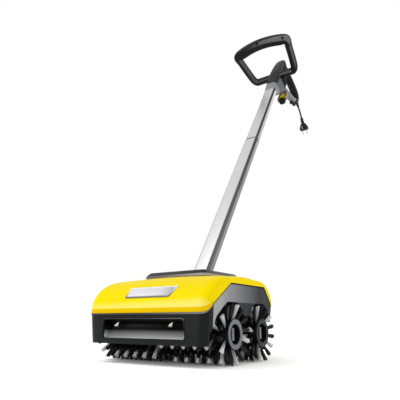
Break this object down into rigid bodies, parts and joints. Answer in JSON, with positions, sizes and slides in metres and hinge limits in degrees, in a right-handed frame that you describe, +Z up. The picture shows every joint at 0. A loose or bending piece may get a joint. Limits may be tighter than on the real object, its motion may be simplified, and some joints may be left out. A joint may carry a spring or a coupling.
{
  "type": "electric patio cleaner",
  "caption": "Motor-driven scrubbing head with tufted rollers and a water spray, on a telescopic tilting handle with a bow grip, rear switch grip and mains lead.",
  "frame": {"origin": "on the ground, below the middle of the bounding box of the whole machine without its mains lead", "axes": "+Z up, -Y towards the front of the head, +Y the way the handle leans, X along the roller axles, with +X on the left of a user who stands behind the handle and looks along -Y"},
  "size_m": [0.3318, 1.0863, 1.1738],
  "materials": {
    "black_shell": "satin black ABS housing",
    "yellow_shell": "glossy yellow ABS",
    "pad_shell": "charcoal plastic",
    "badge_metal": "bare silver plate",
    "grey_trim": "mid grey plastic",
    "dark_inner": "black inner plastic",
    "nozzle_metal": "silver nozzle",
    "hose_rubber": "black hose",
    "steel": "steel",
    "gear_plastic": "natural acetal",
    "bristle": "black and grey nylon tufts",
    "handle_grey": "dark grey plastic",
    "tube_aluminium": "anodised silver",
    "soft_black": "black plastic",
    "grip_black": "soft-touch black",
    "cord_rubber": "black rubber",
    "plug_metal": "nickel-plated brass"
  },
  "bodies": {
    "head": {"lower_housing": "black_shell", "top_cover": "yellow_shell", "top_pad": "pad_shell", "badge_plate": "badge_metal", "water_deflector": "grey_trim", "spray_bar": "dark_inner", "spray_nozzle_left": "nozzle_metal", "spray_nozzle_right": "nozzle_metal", "feed_hose": "hose_rubber", "brush_roof_right": "dark_inner", "brush_roof_left": "dark_inner", "gearbox_shell_left": "dark_inner", "gearbox_shell_right": "dark_inner", "front_bearing_left": "steel", "front_bearing_right": "steel", "rear_bearing_left": "steel", "rear_bearing_right": "steel", "motor": "steel", "handle_bracket": "handle_grey", "pivot_pin": "steel"},
    "front_roller": {"front_brush_left": "bristle", "front_brush_right": "bristle", "front_axle": "steel", "front_axle_gear": "gear_plastic", "front_lock_left": "grey_trim", "front_lock_right": "grey_trim"},
    "rear_roller": {"rear_brush_left": "bristle", "rear_brush_right": "bristle", "rear_axle": "steel", "rear_axle_gear": "gear_plastic", "rear_lock_left": "grey_trim", "rear_lock_right": "grey_trim"},
    "front_idler": {"idler_gear_front": "gear_plastic"},
    "rear_idler": {"idler_gear_rear": "gear_plastic"},
    "reduction": {"reduction_gear": "gear_plastic"},
    "motor_rotor": {"motor_pinion": "steel"},
    "handle_lower": {"handle_foot": "handle_grey", "lower_tube": "tube_aluminium", "telescope_bush": "soft_black"},
    "height_lock": {"height_button": "soft_black"},
    "handle_upper": {"upper_tube": "tube_aluminium", "bow_shell_under": "grip_black", "bow_shell_over": "grip_black", "bow_screw_middle": "steel", "bow_screw_side": "steel", "control_shell_left": "handle_grey", "control_shell_right": "handle_grey", "trigger_pin": "steel", "power_switch": "dark_inner", "hose_connector": "soft_black", "cord_hook": "soft_black", "cord_gland": "soft_black", "power_cord": "cord_rubber", "plug_relief": "cord_rubber", "plug_body": "cord_rubber", "plug_pin_left": "plug_metal", "plug_pin_right": "plug_metal"},
    "switch_trigger": {"trigger": "soft_black"},
    "lock_off": {"lock_off_button": "grey_trim"},
    "water_tap": {"flow_knob": "yellow_shell"}
  },
  "joints": [
    {"name": "front_roller_spin", "type": "hinge", "parent": "head", "child": "front_roller", "pos_m": [0, -0.40856, 0.05944], "axis": [1, 0, 0], "continuous": true},
    {"name": "rear_roller_spin", "type": "hinge", "parent": "head", "child": "rear_roller", "pos_m": [0, -0.28776, 0.05944], "axis": [1, 0, 0], "continuous": true},
    {"name": "front_idler_spin", "type": "hinge", "parent": "head", "child": "front_idler", "pos_m": [0, -0.36829, 0.05944], "axis": [1, 0, 0], "continuous": true},
    {"name": "rear_idler_spin", "type": "hinge", "parent": "head", "child": "rear_idler", "pos_m": [0, -0.32803, 0.05944], "axis": [1, 0, 0], "continuous": true},
    {"name": "reduction_spin", "type": "hinge", "parent": "head", "child": "reduction", "pos_m": [0, -0.36829, 0.08964], "axis": [1, 0, 0], "continuous": true},
    {"name": "motor_spin", "type": "hinge", "parent": "head", "child": "motor_rotor", "pos_m": [0, -0.34816, 0.133], "axis": [1, 0, 0], "continuous": true},
    {"name": "handle_tilt", "type": "hinge", "parent": "head", "child": "handle_lower", "pos_m": [0, -0.2992, 0.1698], "axis": [1, 0, 0], "range_deg": [-10, 25]},
    {"name": "height_slide", "type": "slide", "parent": "handle_lower", "child": "handle_upper", "axis": [0, 0.5417, 0.8406], "range_m": [-0.2, 0.04]},
    {"name": "height_button_press", "type": "slide", "parent": "handle_lower", "child": "height_lock", "axis": [0, -0.8406, 0.5417], "range_m": [0, 0.003], "stiffness_N_per_m": 600, "springref_m": -0.001},
    {"name": "trigger_squeeze", "type": "hinge", "parent": "handle_upper", "child": "switch_trigger", "pos_m": [0, 0.41852, 1.08966], "axis": [1, 0, 0], "range_deg": [0, 6], "stiffness_Nm_per_rad": 1.5, "springref_deg": -5.73},
    {"name": "lock_off_press", "type": "slide", "parent": "handle_upper", "child": "lock_off", "axis": [0, -0.5417, -0.8406], "range_m": [0, 0.003], "stiffness_N_per_m": 600, "springref_m": -0.001},
    {"name": "tap_turn", "type": "hinge", "parent": "handle_upper", "child": "water_tap", "pos_m": [0, 0.3311, 0.98539], "axis": [0, 0.5417, 0.8406], "range_deg": [0, 90]}
  ],
  "couplings": [
    {"joint": "rear_roller_spin", "follows": "front_roller_spin", "ratio": -1},
    {"joint": "front_idler_spin", "follows": "front_roller_spin", "ratio": -1},
    {"joint": "rear_idler_spin", "follows": "front_roller_spin", "ratio": 1},
    {"joint": "reduction_spin", "follows": "front_roller_spin", "ratio": 2},
    {"joint": "motor_spin", "follows": "front_roller_spin", "ratio": -8}
  ]
}
